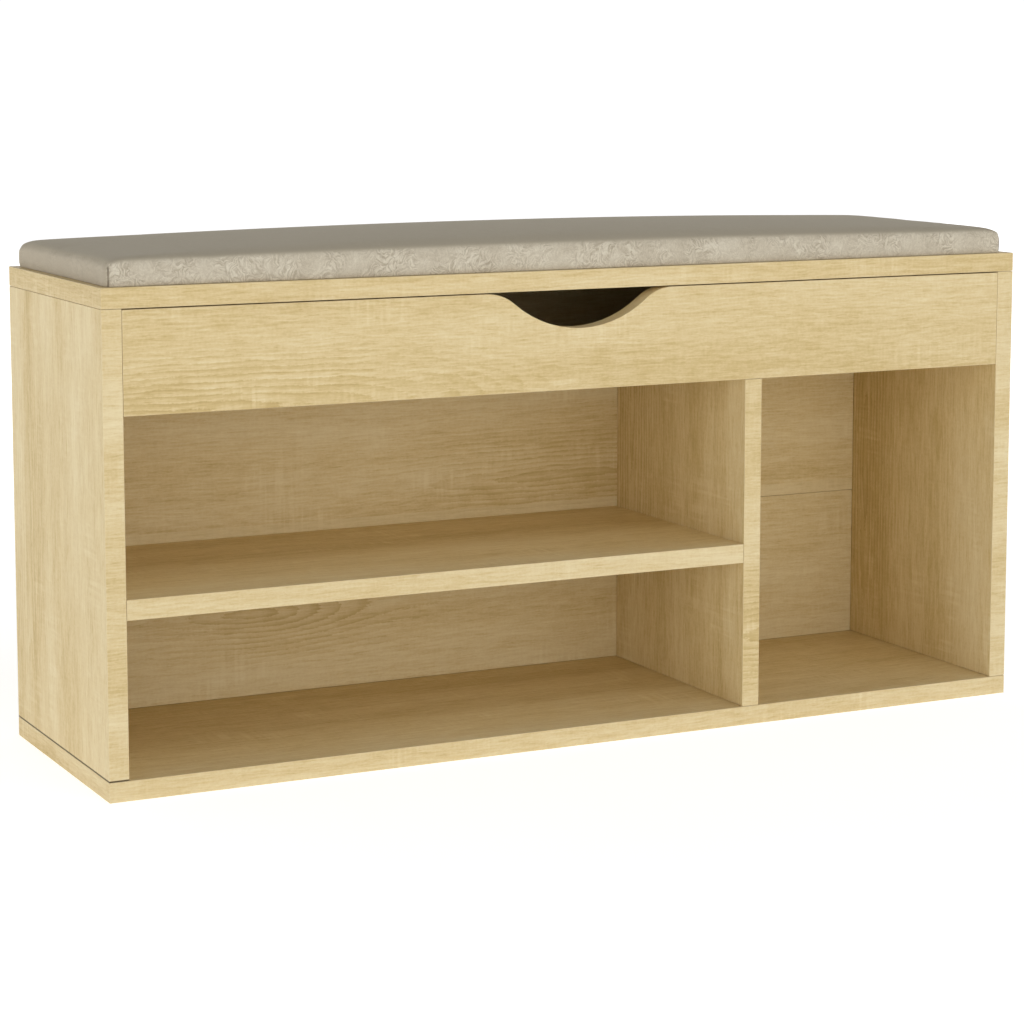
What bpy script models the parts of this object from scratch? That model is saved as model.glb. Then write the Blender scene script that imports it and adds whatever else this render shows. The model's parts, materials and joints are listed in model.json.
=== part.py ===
"""Entryway storage bench: a board carcass, a lift-up lid on two butt hinges, and a seat cushion.

Metres, +Z up. The origin is on the floor, under the middle of the bench. +X runs to the right
along the bench and the front faces -Y.
"""

import math

import bmesh
import bpy
from mathutils import Vector

# Overall sizes
WIDTH = 1.040
DEPTH = 0.300
CARCASS_HEIGHT = 0.4693  # floor to the top edge of the upper back board
BOARD = 0.020  # thickness of every board
EDGE_ROUND = 0.0005  # small round on the boards' banded edges
FIT = 0.0003  # gap between pieces that touch

# Inside layout
SHELF_TOP = 0.195
BAY_TOP = 0.370  # underside of the front apron and of the storage floor
DIVIDER_X = 0.190  # middle of the upright divider
BACK_SEAM = 0.1915  # where the two back boards meet

# Finger notch in the top edge of the apron
NOTCH_X = -0.0145
NOTCH_WIDTH = 0.211
NOTCH_DEPTH = 0.038
NOTCH_BOTTOM_RADIUS = 0.118
NOTCH_ARC_STEPS = 14
NOTCH_SHOULDER_STEPS = 8

# Lid hinges
HINGE_X = 0.330  # from the middle of the bench to the middle of each hinge
HINGE_LENGTH = 0.050
LEAF = 0.0008  # thickness of a leaf
LEAF_SETBACK = 0.0025  # from a leaf's front edge to the front of the board it lies on
KNUCKLE_RADIUS = 0.0021
MIDDLE_KNUCKLE = 0.0254
PIN_RADIUS = 0.0010
PIN_OVERHANG = 0.0008
HINGE_SCREW_SPACING = 0.032
LEAF_SCREW_RECESS = 0.0001
ROUND_STEPS = 24

# Fasteners: radii and lengths
BASE_SCREW = {"head": 0.0050, "shank": 0.0035, "thread": 0.0030, "length": 0.050}
BASE_SCREW_RECESS = 0.0005
BASE_SCREW_INSET = 0.050
LEAF_SCREW = {"head": 0.0026, "thread": 0.0014, "length": 0.014}
CAM_RADIUS = 0.0072
CAM_REACH = 0.024  # from a board's end to the middle of its cam
CAM_SKIN = 0.005  # board left above a cam pocket
BOLT = {"head": 0.0034, "neck": 0.0020, "collar": 0.0034, "thread": 0.0025, "grip": 0.011}
DOWEL_RADIUS = 0.004
DOWEL_LENGTH = 0.030
DOWEL_GRIP = 0.010  # how far a dowel goes into the upright
DOWEL_CHAMFER = 0.001
FITTING_INSET = 0.050  # from a board's long edges to its cams and dowels
SMALL_STEPS = 12

# Bumper pads on the apron's top edge
BUMPER_RADIUS = 0.004
BUMPER_INSET = 0.030  # from the side panels' inner faces
BUMPER_SETBACK = 0.014  # from the apron's front face

# Seat cushion
CUSHION_LEFT = 0.003  # lid showing past the cushion's left end
CUSHION_RIGHT = 0.009
CUSHION_REAR = 0.005
CUSHION_EDGE = 0.026  # height of its sides
CUSHION_CROWN = 0.012  # rise of its middle above the sides
CUSHION_ROUND = 0.008
COVER_WALL = 0.0012
BASE_CLOTH = 0.0010
HOOK_STRIP = (0.300, 0.025, 0.0008)
HOOK_STRIP_X = 0.250
ZIP = (0.600, 0.0012, 0.008)
ZIP_RISE = 0.011  # from the lid to the zip's middle
SLIDER = (0.007, 0.0022, 0.009)
SLIDER_PULL = (0.004, 0.0008, 0.010)

# Places worked out from the sizes above
FRONT = -DEPTH / 2
REAR = DEPTH / 2
INNER = WIDTH / 2 - BOARD  # inner faces of the side panels
BACK_FACE = REAR - BOARD  # front faces of the back boards
LID_GAP = 2 * LEAF + 3 * FIT  # two folded leaves lie between the lid and the upper back board
LID_BOTTOM = CARCASS_HEIGHT + LID_GAP
LID_TOP = LID_BOTTOM + BOARD
SIDE_TOP = LID_BOTTOM - FIT  # the closed lid rests on the side panels
APRON_GAP = 0.0012  # under the closed lid, for thin pads
APRON_TOP = LID_BOTTOM - APRON_GAP
HINGE_Y = REAR + FIT + KNUCKLE_RADIUS
HINGE_Z = CARCASS_HEIGHT + LID_GAP / 2
CAM_DEPTH = BOARD - CAM_SKIN

FINISHES = {
    "oak": ((0.70, 0.56, 0.30), 0.45, 0.0),
    "steel": ((0.55, 0.55, 0.56), 0.35, 1.0),
    "zinc": ((0.50, 0.50, 0.52), 0.50, 1.0),
    "beech": ((0.62, 0.44, 0.26), 0.70, 0.0),
    "cloth": ((0.46, 0.43, 0.36), 0.90, 0.0),
    "foam": ((0.80, 0.76, 0.60), 0.95, 0.0),
    "hook": ((0.05, 0.05, 0.05), 0.80, 0.0),
    "rubber": ((0.75, 0.75, 0.73), 0.50, 0.0),
}


def clear_scene():
    for thing in list(bpy.data.objects):
        bpy.data.objects.remove(thing)


def new_collection(name):
    group = bpy.data.collections.new(name)
    bpy.context.scene.collection.children.link(group)
    return group


def finish_material(name, finish):
    colour, roughness, metallic = FINISHES[finish]
    material = bpy.data.materials.new(name)
    material.use_nodes = True
    shader = material.node_tree.nodes["Principled BSDF"]
    shader.inputs["Base Color"].default_value = (*colour, 1.0)
    shader.inputs["Roughness"].default_value = roughness
    shader.inputs["Metallic"].default_value = metallic
    return material


def add_piece(name, mesh, finish, place=(0, 0, 0), turn=(0, 0, 0)):
    """A sub-part of the bench, in its own finish; a finish of None makes a cutter."""
    piece = bpy.data.objects.new(name, mesh)
    piece.location = place
    piece.rotation_euler = turn
    if finish is None:
        piece.hide_render = True
        piece.display_type = "WIRE"
        CUTTERS.objects.link(piece)
    else:
        mesh.materials.append(finish_material(name, finish))
        BENCH.objects.link(piece)
    return piece


def block(name, low, high, finish=None, edge=0.0):
    """A rectangular piece between two corners, with its origin at its middle."""
    low, high = Vector(low), Vector(high)
    shape = bmesh.new()
    bmesh.ops.create_cube(shape, size=1.0)
    bmesh.ops.scale(shape, vec=high - low, verts=shape.verts)
    mesh = bpy.data.meshes.new(name)
    shape.to_mesh(mesh)
    shape.free()
    piece = add_piece(name, mesh, finish, (low + high) / 2)
    if edge:
        round_edges(piece, edge, 2)
    return piece


def turned(name, profile, finish, place, turn=(0, 0, 0), steps=SMALL_STEPS):
    """A turned piece: (radius, height) points from the top of its axis down to the bottom."""
    mesh = bpy.data.meshes.new(name)
    points = [(radius, 0, height) for radius, height in profile]
    mesh.from_pydata(points, [(i, i + 1) for i in range(len(points) - 1)], [])
    piece = add_piece(name, mesh, finish, place, turn)
    screw = piece.modifiers.new("Turn", "SCREW")
    screw.steps = steps
    screw.render_steps = steps
    screw.use_merge_vertices = True
    screw.merge_threshold = 0.00001
    return piece


def rod(name, radius, length, finish, place, turn, steps=ROUND_STEPS):
    """A round bar about its middle, shaded smooth round its side."""
    shape = bmesh.new()
    bmesh.ops.create_cone(
        shape, cap_ends=True, segments=steps, radius1=radius, radius2=radius, depth=length
    )
    mesh = bpy.data.meshes.new(name)
    shape.to_mesh(mesh)
    shape.free()
    mesh.shade_smooth()
    mesh.set_sharp_from_angle(angle=math.radians(40))
    return add_piece(name, mesh, finish, place, turn)


def round_edges(piece, width, segments):
    bevel = piece.modifiers.new("Round", "BEVEL")
    bevel.width = width
    bevel.segments = segments
    bevel.limit_method = "ANGLE"
    bevel.angle_limit = math.radians(40)


def shape_with(piece, other, operation):
    """Adds a Boolean to a piece; returns the piece."""
    boolean = piece.modifiers.new(other.name, "BOOLEAN")
    boolean.operation = operation
    boolean.object = other
    return piece


def cut(cutter, *pieces):
    for piece in pieces:
        shape_with(piece, cutter, "DIFFERENCE")


def grown(profile, gap):
    """The hole for a turned piece: its profile with a gap round it and past both ends."""
    middle = (profile[0][1] + profile[-1][1]) / 2
    return [
        (radius + gap if radius else 0.0, height + math.copysign(gap, height - middle))
        for radius, height in profile
    ]


def notch_outline():
    """Half of the finger notch, from its lowest point out to the apron's top edge: an arc that
    opens upwards and a shoulder arc tangent to it and to the edge."""
    half, depth, bottom = NOTCH_WIDTH / 2, NOTCH_DEPTH, NOTCH_BOTTOM_RADIUS
    shoulder = (half**2 + depth**2) / (2 * depth) - bottom
    swing = math.asin(half / (bottom + shoulder))
    points = []
    for i in range(NOTCH_ARC_STEPS // 2 + 1):
        angle = swing * i / (NOTCH_ARC_STEPS // 2)
        points.append((bottom * math.sin(angle), bottom * (1 - math.cos(angle)) - depth))
    for i in range(1, NOTCH_SHOULDER_STEPS + 1):
        angle = swing * (1 - i / NOTCH_SHOULDER_STEPS)
        points.append((half - shoulder * math.sin(angle), shoulder * (math.cos(angle) - 1)))
    return points


def notch_cutter():
    half = notch_outline()
    rise = NOTCH_DEPTH
    right = half + [(half[-1][0], rise)]
    outline = [(-x, z) for x, z in reversed(right)] + right[1:]
    curve = bpy.data.curves.new("notch_outline", "CURVE")
    curve.dimensions = "2D"
    curve.fill_mode = "BOTH"
    curve.extrude = BOARD
    spline = curve.splines.new("POLY")
    spline.points.add(len(outline) - 1)
    for point, (x, z) in zip(spline.points, outline):
        point.co = (x, z, 0, 1)
    spline.use_cyclic_u = True
    drawn = bpy.data.objects.new("notch_outline", curve)
    CUTTERS.objects.link(drawn)
    bpy.context.view_layer.update()
    ready = drawn.evaluated_get(bpy.context.evaluated_depsgraph_get())
    shape = bmesh.new()
    solid = bpy.data.meshes.new_from_object(ready)
    shape.from_mesh(solid)
    bmesh.ops.remove_doubles(shape, verts=shape.verts, dist=0.00001)
    bmesh.ops.recalc_face_normals(shape, faces=shape.faces)
    shape.to_mesh(solid)
    shape.free()
    bpy.data.objects.remove(drawn)
    place = (NOTCH_X, FRONT + BOARD / 2, APRON_TOP)
    return add_piece("finger_notch", solid, None, place, (math.pi / 2, 0, 0))


def make_boards():
    """The ten boards, by name."""
    left, right = -WIDTH / 2, WIDTH / 2
    floor_top = BAY_TOP + BOARD
    boards = {
        "bottom_panel": ((left, FRONT, 0), (right, REAR, BOARD)),
        "left_side_panel": ((left, FRONT, BOARD + FIT), (-INNER, REAR, SIDE_TOP)),
        "right_side_panel": ((INNER, FRONT, BOARD + FIT), (right, REAR, SIDE_TOP)),
        "divider_panel": (
            (DIVIDER_X - BOARD / 2, FRONT, BOARD + FIT),
            (DIVIDER_X + BOARD / 2, BACK_FACE - FIT, BAY_TOP - FIT),
        ),
        "shelf_panel": (
            (-INNER + FIT, FRONT, SHELF_TOP - BOARD),
            (DIVIDER_X - BOARD / 2 - FIT, BACK_FACE - FIT, SHELF_TOP),
        ),
        "storage_floor": (
            (-INNER + FIT, FRONT + BOARD + FIT, BAY_TOP),
            (INNER - FIT, BACK_FACE - FIT, floor_top),
        ),
        "lower_back_panel": (
            (-INNER + FIT, BACK_FACE, BOARD + FIT),
            (INNER - FIT, REAR, BACK_SEAM - FIT / 2),
        ),
        "upper_back_panel": (
            (-INNER + FIT, BACK_FACE, BACK_SEAM + FIT / 2),
            (INNER - FIT, REAR, CARCASS_HEIGHT),
        ),
        "lid_panel": ((left, FRONT, LID_BOTTOM), (right, REAR, LID_TOP)),
    }
    made = {name: block(name, *ends, "oak", EDGE_ROUND) for name, ends in boards.items()}
    made["front_apron"] = make_apron()
    return made


def make_apron():
    low = (-INNER + FIT, FRONT, BAY_TOP)
    high = (INNER - FIT, FRONT + BOARD, APRON_TOP)
    apron = block("front_apron", low, high, "oak")
    cut(notch_cutter(), apron)
    round_edges(apron, EDGE_ROUND, 2)
    return apron


def screw_profile(head, thread, length, shank=0.0):
    """A countersunk screw with its flat head up at height 0."""
    neck = shank or thread
    points = [(0.0, 0.0), (head, 0.0), (neck, -(head - neck) * 1.2)]
    if shank:
        points += [(shank, -0.4 * length), (thread, -0.4 * length - (shank - thread))]
    return points + [(thread, -length + 2 * thread), (0.0, -length)]


def add_screw(name, sizes, place, turn, boards):
    profile = screw_profile(**sizes)
    turned(name, profile, "steel", place, turn)
    cut(turned(name + "_hole", grown(profile, FIT), None, place, turn), *boards)


def add_base_screws(boards):
    """Long screws driven up through the bottom panel into the three uprights."""
    upside_down = (math.pi, 0, 0)
    uprights = {
        "left": (boards["left_side_panel"], -WIDTH / 2 + BOARD / 2),
        "divider": (boards["divider_panel"], DIVIDER_X),
        "right": (boards["right_side_panel"], WIDTH / 2 - BOARD / 2),
    }
    for side, (upright, x) in uprights.items():
        for end, y in (("front", FRONT + BASE_SCREW_INSET), ("rear", BACK_FACE - BASE_SCREW_INSET)):
            place = (x, y, BASE_SCREW_RECESS)
            pair = (boards["bottom_panel"], upright)
            add_screw(f"base_screw_{side}_{end}", BASE_SCREW, place, upside_down, pair)


def bolt_profile():
    """A cam bolt: its collar's face is at height 0 and its head is up, at the cam."""
    head, neck, collar = BOLT["head"], BOLT["neck"], BOLT["collar"]
    thread, grip = BOLT["thread"], BOLT["grip"]
    return [
        (0.0, CAM_REACH + head * 0.9),
        (head, CAM_REACH + head * 0.9),
        (head, CAM_REACH - head),
        (neck, CAM_REACH - head),
        (neck, collar / 2),
        (collar, collar / 2),
        (collar, FIT),
        (thread, FIT),
        (thread, -grip + thread),
        (0.0, -grip),
    ]


def bolt_bore():
    """The hole for a cam bolt: wide in the board with the cam, narrow in the upright."""
    wide, narrow = BOLT["head"] + 2 * FIT, BOLT["thread"] + FIT
    deep = CAM_REACH + BOLT["head"]
    return [
        (0.0, deep),
        (wide, deep),
        (wide, 0.0),
        (narrow, 0.0),
        (narrow, -BOLT["grip"] - FIT),
        (0.0, -BOLT["grip"] - FIT),
    ]


def add_cam_joint(label, shelf, upright, face_x, inward, y, underside):
    """One cam and its bolt. face_x is the upright's face, and inward points to the shelf."""
    group, end = label
    turn = (0, inward * math.pi / 2, 0)
    place = (face_x, y, underside + BOARD / 2)
    turned(f"{group}_bolt_{end}", bolt_profile(), "steel", place, turn)
    cut(turned(f"{group}_bore_{end}", bolt_bore(), None, place, turn), shelf, upright)

    middle = Vector((face_x + inward * CAM_REACH, y, underside + CAM_DEPTH / 2))
    upright_turn = (0, 0, 0)
    pocket = rod(
        f"{group}_pocket_{end}", CAM_RADIUS + FIT, CAM_DEPTH, None, middle, upright_turn
    )
    pocket.location.z -= FIT
    cut(pocket, shelf)
    height = CAM_DEPTH - 4 * FIT
    cam = rod(f"{group}_cam_{end}", CAM_RADIUS, height, "zinc", middle, upright_turn)
    cam.location.z -= FIT / 2
    add_cam_cuts(cam, f"{group}_{end}", middle, inward, underside)


def add_cam_cuts(cam, label, middle, inward, underside):
    """The slot that takes the bolt's head, and the screwdriver slot in the cam's face."""
    reach = BOLT["head"] + 2 * FIT
    near, far = -2 * CAM_RADIUS * inward, reach * inward
    axis_z = underside + BOARD / 2
    low = (middle.x + min(near, far), middle.y - reach, axis_z - reach)
    high = (middle.x + max(near, far), middle.y + reach, axis_z + reach)
    cut(block(f"{label}_head_slot", low, high), cam)
    half_length, half_width, deep = CAM_RADIUS * 0.7, CAM_RADIUS * 0.1, CAM_RADIUS * 0.25
    low = (middle.x - half_length, middle.y - half_width, underside - deep)
    high = (middle.x + half_length, middle.y + half_width, underside + deep)
    cut(block(f"{label}_driver_slot", low, high), cam)


def add_dowel(name, board, upright, face_x, inward, y, z):
    """A chamfered dowel, partly in the upright and the rest in the end of the board."""
    radius, half = DOWEL_RADIUS, DOWEL_LENGTH / 2
    profile = [
        (0.0, half),
        (radius - DOWEL_CHAMFER, half),
        (radius, half - DOWEL_CHAMFER),
        (radius, DOWEL_CHAMFER - half),
        (radius - DOWEL_CHAMFER, -half),
        (0.0, -half),
    ]
    place = (face_x + inward * (half - DOWEL_GRIP), y, z)
    turn = (0, math.pi / 2, 0)
    turned(name, profile, "beech", place, turn)
    bore = rod(name + "_bore", radius + FIT, DOWEL_LENGTH + 4 * FIT, None, place, turn, SMALL_STEPS)
    cut(bore, board, upright)


def add_hidden_joints(boards):
    """Cams and dowels that hold the shelf, storage floor, apron and back boards."""
    left, right = boards["left_side_panel"], boards["right_side_panel"]
    shelf, floor = boards["shelf_panel"], boards["storage_floor"]
    shelf_y = (FRONT + FITTING_INSET, BACK_FACE - FITTING_INSET)
    shelf_ends = {
        "left": (left, -INNER, 1),
        "right": (boards["divider_panel"], DIVIDER_X - BOARD / 2, -1),
    }
    for side, (upright, face_x, inward) in shelf_ends.items():
        underside = SHELF_TOP - BOARD
        add_cam_joint(("shelf", side), shelf, upright, face_x, inward, shelf_y[0], underside)
        middle_z = SHELF_TOP - BOARD / 2
        add_dowel(f"shelf_dowel_{side}", shelf, upright, face_x, inward, shelf_y[1], middle_z)

    floor_y = {"front": FRONT + BOARD + FITTING_INSET, "rear": BACK_FACE - FITTING_INSET}
    dowelled = {
        "apron": ("front_apron", FRONT + BOARD / 2, (BAY_TOP + APRON_TOP) / 2),
        "upper_back": ("upper_back_panel", REAR - BOARD / 2, (BACK_SEAM + CARCASS_HEIGHT) / 2),
        "lower_back": ("lower_back_panel", REAR - BOARD / 2, (BOARD + BACK_SEAM) / 2),
    }
    for side, upright, face_x, inward in (("left", left, -INNER, 1), ("right", right, INNER, -1)):
        for end, y in floor_y.items():
            label = ("floor", f"{side}_{end}")
            add_cam_joint(label, floor, upright, face_x, inward, y, BAY_TOP)
        for group, (name, y, z) in dowelled.items():
            add_dowel(f"{group}_dowel_{side}", boards[name], upright, face_x, inward, y, z)


def add_leaf(name, hinge_x, plate_bottom, knuckles, clear_of):
    """A hinge leaf: a flat plate joined to its knuckles, cut back past the other leaf's.
    knuckles and clear_of are (start, end) pairs along the hinge, from its middle."""
    half = HINGE_LENGTH / 2
    low = (hinge_x - half, BACK_FACE + LEAF_SETBACK, plate_bottom)
    high = (hinge_x + half, HINGE_Y, plate_bottom + LEAF)
    leaf = block(name, low, high, "steel")
    for i, (start, end) in enumerate(clear_of):
        low = (hinge_x + start - FIT, REAR, plate_bottom - LEAF)
        high = (hinge_x + end + FIT, HINGE_Y + LEAF, plate_bottom + 2 * LEAF)
        cut(block(f"{name}_cutback_{i}", low, high), leaf)
    along_x = (0, math.pi / 2, 0)
    for i, (start, end) in enumerate(knuckles):
        place = (hinge_x + (start + end) / 2, HINGE_Y, HINGE_Z)
        barrel = rod(f"{name}_knuckle_{i}", KNUCKLE_RADIUS, end - start, None, place, along_x)
        shape_with(leaf, barrel, "UNION")
    place = (hinge_x, HINGE_Y, HINGE_Z)
    bore = rod(f"{name}_bore", PIN_RADIUS + FIT, 2 * HINGE_LENGTH, None, place, along_x)
    cut(bore, leaf)
    return leaf


def add_hinge(side, hinge_x, boards):
    """A butt hinge folded shut between the upper back board and the lid."""
    half, middle = HINGE_LENGTH / 2, MIDDLE_KNUCKLE / 2
    inner = [(-middle, middle)]
    outer = [(-half, -middle - FIT), (middle + FIT, half)]
    lower_plate = CARCASS_HEIGHT + FIT
    upper_plate = LID_BOTTOM - FIT - LEAF
    lower = add_leaf(f"hinge_{side}_lower_leaf", hinge_x, lower_plate, outer, inner)
    upper = add_leaf(f"hinge_{side}_upper_leaf", hinge_x, upper_plate, inner, outer)
    pin_length = HINGE_LENGTH + 2 * PIN_OVERHANG
    place = (hinge_x, HINGE_Y, HINGE_Z)
    rod(f"hinge_{side}_pin", PIN_RADIUS, pin_length, "steel", place, (0, math.pi / 2, 0))

    screw_y = REAR - BOARD / 2
    screw_z = {"lower": lower_plate + LEAF - LEAF_SCREW_RECESS, "upper": upper_plate + LEAF_SCREW_RECESS}
    turns = {"lower": (0, 0, 0), "upper": (math.pi, 0, 0)}
    held = {"lower": (lower, boards["upper_back_panel"]), "upper": (upper, boards["lid_panel"])}
    for level in ("lower", "upper"):
        for number, step in ((1, -0.5), (2, 0.5)):
            place = (hinge_x + step * HINGE_SCREW_SPACING, screw_y, screw_z[level])
            name = f"hinge_{side}_{level}_screw_{number}"
            add_screw(name, LEAF_SCREW, place, turns[level], held[level])


def add_bumpers():
    """Thin soft pads at the apron's ends that meet the closing lid."""
    height = APRON_GAP - 2 * FIT
    for side, x in (("left", BUMPER_INSET - INNER), ("right", INNER - BUMPER_INSET)):
        place = (x, FRONT + BUMPER_SETBACK, APRON_TOP + APRON_GAP / 2)
        rod(f"bumper_{side}", BUMPER_RADIUS, height, "rubber", place, (0, 0, 0), SMALL_STEPS)


def cushion_box(inset):
    """The cushion's footprint, drawn in by an inset: (low x, low y, high x, high y)."""
    return (
        -WIDTH / 2 + CUSHION_LEFT + inset,
        FRONT + inset,
        WIDTH / 2 - CUSHION_RIGHT - inset,
        REAR - CUSHION_REAR - inset,
    )


def crowned_form(name, finish, inset, bottom, edge_top, closed):
    """A cushion form: upright sides and a crowned top, with or without an underside."""
    low_x, low_y, high_x, high_y = cushion_box(inset)
    shape = bmesh.new()
    bmesh.ops.create_grid(shape, x_segments=14, y_segments=4, size=1.0)
    rim = [edge for edge in shape.edges if edge.is_boundary]
    walls = bmesh.ops.extrude_edge_only(shape, edges=rim)
    lowered = {v for v in walls["geom"] if isinstance(v, bmesh.types.BMVert)}
    for vert in shape.verts:
        u, v = vert.co.x, vert.co.y
        vert.co.x = (low_x + high_x) / 2 + u * (high_x - low_x) / 2
        vert.co.y = (low_y + high_y) / 2 + v * (high_y - low_y) / 2
        crown = CUSHION_CROWN * (1 - u**4) * (1 - v**2)
        vert.co.z = bottom if vert in lowered else edge_top + crown
    if closed:
        bmesh.ops.holes_fill(shape, edges=[e for e in shape.edges if e.is_boundary], sides=0)
    bmesh.ops.recalc_face_normals(shape, faces=shape.faces)
    if not closed and min(shape.faces, key=lambda f: -f.calc_center_median().z).normal.z < 0:
        bmesh.ops.reverse_faces(shape, faces=shape.faces)
    mesh = bpy.data.meshes.new(name)
    shape.to_mesh(mesh)
    shape.free()
    mesh.shade_smooth()
    mesh.set_sharp_from_angle(angle=math.radians(50))
    form = add_piece(name, mesh, finish)
    bevel = form.modifiers.new("Round", "BEVEL")
    bevel.width = max(CUSHION_ROUND - inset, COVER_WALL)
    bevel.segments = 3
    bevel.limit_method = "ANGLE"
    bevel.angle_limit = math.radians(60)
    return form


def add_cushion():
    """A fabric cover open underneath, its foam, and the base cloth that closes it."""
    rests_at = LID_TOP + FIT
    edge_top = LID_TOP + CUSHION_EDGE
    cover = crowned_form("cushion_cover", "cloth", 0.0, rests_at, edge_top, False)
    skin = cover.modifiers.new("Skin", "SOLIDIFY")
    skin.thickness = COVER_WALL
    skin.offset = -1.0

    inset = COVER_WALL + FIT
    cloth_bottom = LID_TOP + HOOK_STRIP[2] + 2 * FIT
    low_x, low_y, high_x, high_y = cushion_box(inset)
    corner = CUSHION_ROUND
    base_low = (low_x, low_y, cloth_bottom)
    base_high = (high_x, high_y, cloth_bottom + BASE_CLOTH)
    base = block("cushion_base_cloth", base_low, base_high, "cloth")
    upright_edges(base, corner - inset)
    foam_inset = inset + FIT
    foam_bottom = cloth_bottom + BASE_CLOTH + FIT
    foam_top = edge_top - COVER_WALL - 2 * FIT
    crowned_form("cushion_foam", "foam", foam_inset, foam_bottom, foam_top, True)


def upright_edges(piece, width):
    """Rounds only the four upright edges of a flat piece."""
    mesh = piece.data
    weights = mesh.attributes.new("bevel_weight_edge", "FLOAT", "EDGE")
    for edge in mesh.edges:
        ends = [mesh.vertices[i].co for i in edge.vertices]
        upright = abs(ends[0].z - ends[1].z) > abs(ends[0].x - ends[1].x) + abs(ends[0].y - ends[1].y)
        weights.data[edge.index].value = 1.0 if upright else 0.0
    bevel = piece.modifiers.new("Corners", "BEVEL")
    bevel.width = width
    bevel.segments = 3
    bevel.limit_method = "WEIGHT"


def add_cushion_trim():
    """Hook strips between lid and cushion, and the zip along the cushion's rear side."""
    length, width, thick = HOOK_STRIP
    for side, x in (("left", -HOOK_STRIP_X), ("right", HOOK_STRIP_X)):
        low = (x - length / 2, -width / 2, LID_TOP + FIT)
        high = (x + length / 2, width / 2, LID_TOP + FIT + thick)
        block(f"hook_strip_{side}", low, high, "hook")

    rear = REAR - CUSHION_REAR + FIT
    middle_z = LID_TOP + ZIP_RISE
    low = (-ZIP[0] / 2, rear, middle_z - ZIP[2] / 2)
    high = (ZIP[0] / 2, rear + ZIP[1], middle_z + ZIP[2] / 2)
    block("cushion_zip", low, high, "hook")
    add_zip_slider(rear + ZIP[1] + FIT, middle_z)


def add_zip_slider(front_y, middle_z):
    """The slider at the zip's closed end, with its pull tab hanging down behind it."""
    closed_x = ZIP[0] / 2 - SLIDER[0]
    low = (closed_x - SLIDER[0] / 2, front_y, middle_z - SLIDER[2] / 2)
    high = (closed_x + SLIDER[0] / 2, front_y + SLIDER[1], middle_z + SLIDER[2] / 2)
    slider = block("zip_slider", low, high, "zinc", SLIDER[1] / 4)
    pull_top = middle_z + SLIDER[2] / 4
    low = (closed_x - SLIDER_PULL[0] / 2, high[1] - SLIDER_PULL[1] / 2, pull_top - SLIDER_PULL[2])
    high = (closed_x + SLIDER_PULL[0] / 2, high[1] + SLIDER_PULL[1] / 2, pull_top)
    shape_with(slider, block("zip_pull", low, high), "UNION")


clear_scene()
BENCH = new_collection("entryway_bench")
CUTTERS = new_collection("cutters")
all_boards = make_boards()
add_base_screws(all_boards)
add_hidden_joints(all_boards)
for hinge_side, hinge_middle in (("left", -HINGE_X), ("right", HINGE_X)):
    add_hinge(hinge_side, hinge_middle, all_boards)
add_bumpers()
add_cushion()
add_cushion_trim()
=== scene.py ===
"""Looks of the entryway storage bench: oak-foiled boards, its fittings, and the seat cushion.

Metres, +Z up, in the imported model's frame. Board faces take their grain from the face they lie
on, and every board has its own piece of the oak pattern.
"""

import json
import math

import bmesh
import bpy
import numpy as np
from mathutils import Matrix, Vector

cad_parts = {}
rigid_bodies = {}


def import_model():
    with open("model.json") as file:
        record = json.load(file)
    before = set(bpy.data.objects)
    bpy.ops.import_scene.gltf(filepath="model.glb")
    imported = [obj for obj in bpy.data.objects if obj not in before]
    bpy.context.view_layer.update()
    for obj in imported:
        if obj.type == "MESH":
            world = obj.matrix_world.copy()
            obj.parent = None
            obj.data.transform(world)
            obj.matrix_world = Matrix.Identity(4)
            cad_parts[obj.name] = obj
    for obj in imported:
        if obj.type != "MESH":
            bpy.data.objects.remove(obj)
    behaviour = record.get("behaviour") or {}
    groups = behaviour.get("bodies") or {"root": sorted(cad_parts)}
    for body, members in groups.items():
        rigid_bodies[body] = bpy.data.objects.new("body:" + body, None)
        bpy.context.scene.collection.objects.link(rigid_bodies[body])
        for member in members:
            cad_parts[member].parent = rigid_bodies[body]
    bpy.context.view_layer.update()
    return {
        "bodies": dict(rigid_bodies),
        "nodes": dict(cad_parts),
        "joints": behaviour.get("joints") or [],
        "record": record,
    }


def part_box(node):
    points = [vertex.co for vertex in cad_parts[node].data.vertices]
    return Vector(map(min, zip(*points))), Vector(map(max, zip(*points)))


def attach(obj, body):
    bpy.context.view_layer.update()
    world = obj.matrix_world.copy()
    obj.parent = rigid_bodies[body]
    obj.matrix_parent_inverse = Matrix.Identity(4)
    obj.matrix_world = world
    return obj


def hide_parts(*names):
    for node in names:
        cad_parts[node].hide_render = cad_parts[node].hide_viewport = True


# Camera: place, turn and lens
CAMERA_PLACE = (-1.3248, -2.6279, 0.7095)
CAMERA_YAW = 26.435
CAMERA_PITCH = 6.907
CAMERA_LENS = 97.75
CAMERA_SENSOR = 36.0
CAMERA_SHIFT = -0.12

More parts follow.
